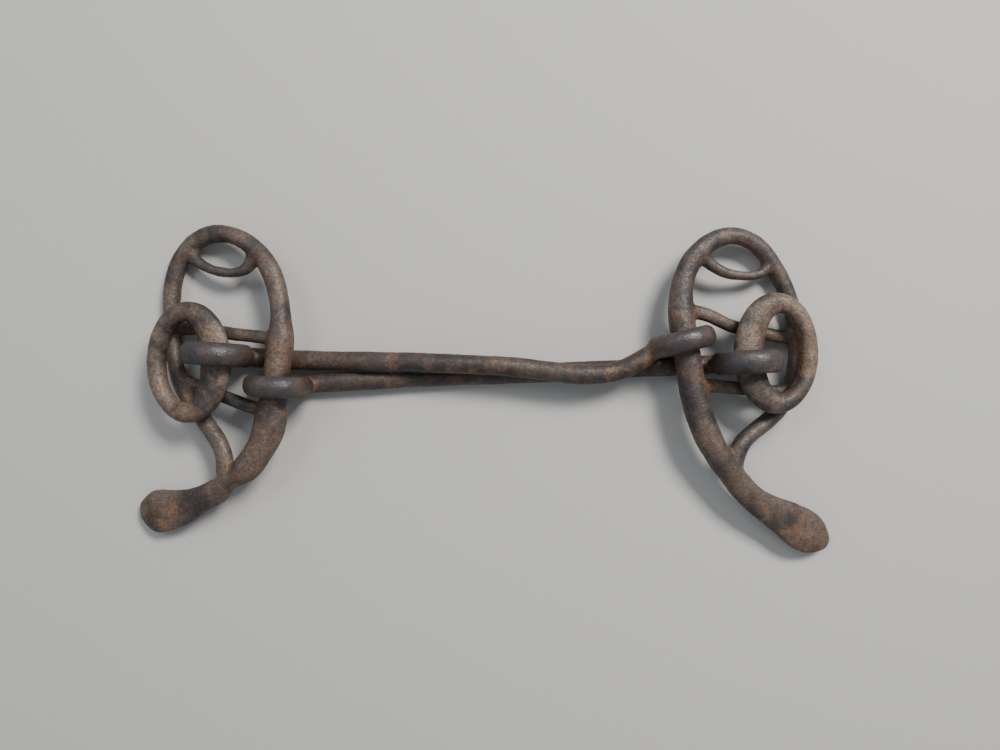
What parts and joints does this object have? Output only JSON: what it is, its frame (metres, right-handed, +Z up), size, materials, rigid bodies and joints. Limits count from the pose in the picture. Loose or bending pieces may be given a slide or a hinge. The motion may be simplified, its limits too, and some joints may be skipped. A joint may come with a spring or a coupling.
{
  "type": "curb bit",
  "caption": "Double-bar iron curb bit with slotted hinged cheeks and oval rein loops, folded flat",
  "frame": {"origin": "on the surface the bit lies on, under the middle of its outline", "axes": "+X along the mouthpiece towards the right cheek, +Y up the cheeks towards the strap slots, +Z up off the surface"},
  "size_m": [0.2413, 0.1139, 0.0257],
  "materials": {
    "cheek_iron": "rusted casting, worn grey on its edges",
    "bar_iron": "rusted round bar, worn smooth and grey on top",
    "loop_iron": "rusted casting with a light brown bloom"
  },
  "bodies": {
    "bar_b": {"bar_b": "bar_iron"},
    "bar_a": {"bar_a": "bar_iron"},
    "left_cheek": {"left_cheek": "cheek_iron"},
    "right_cheek": {"right_cheek": "cheek_iron"},
    "left_ring": {"left_ring": "loop_iron"},
    "right_ring": {"right_ring": "loop_iron"}
  },
  "joints": [
    {"name": "left_cheek_swing", "type": "hinge", "parent": "bar_b", "child": "left_cheek", "pos_m": [-0.0701, 0.0074, 0.0118], "axis": [-0.1184, -0.993, 0], "range_deg": [0, 110]},
    {"name": "bar_a_slide", "type": "slide", "parent": "bar_b", "child": "bar_a", "axis": [1, 0, 0], "range_m": [0, 0.002]},
    {"name": "right_cheek_swing", "type": "hinge", "parent": "bar_a", "child": "right_cheek", "pos_m": [0.0688, 0.0095, 0.0118], "axis": [-0.1616, 0.9869, 0], "range_deg": [0, 110]},
    {"name": "left_ring_swing", "type": "hinge", "parent": "bar_a", "child": "left_ring", "pos_m": [-0.0896, 0.0119, 0.0138], "axis": [0.0698, 0.9976, 0], "range_deg": [0, 95]},
    {"name": "right_ring_swing", "type": "hinge", "parent": "bar_b", "child": "right_ring", "pos_m": [0.088, 0.0093, 0.0138], "axis": [0.0523, -0.9986, 0], "range_deg": [0, 95]}
  ]
}
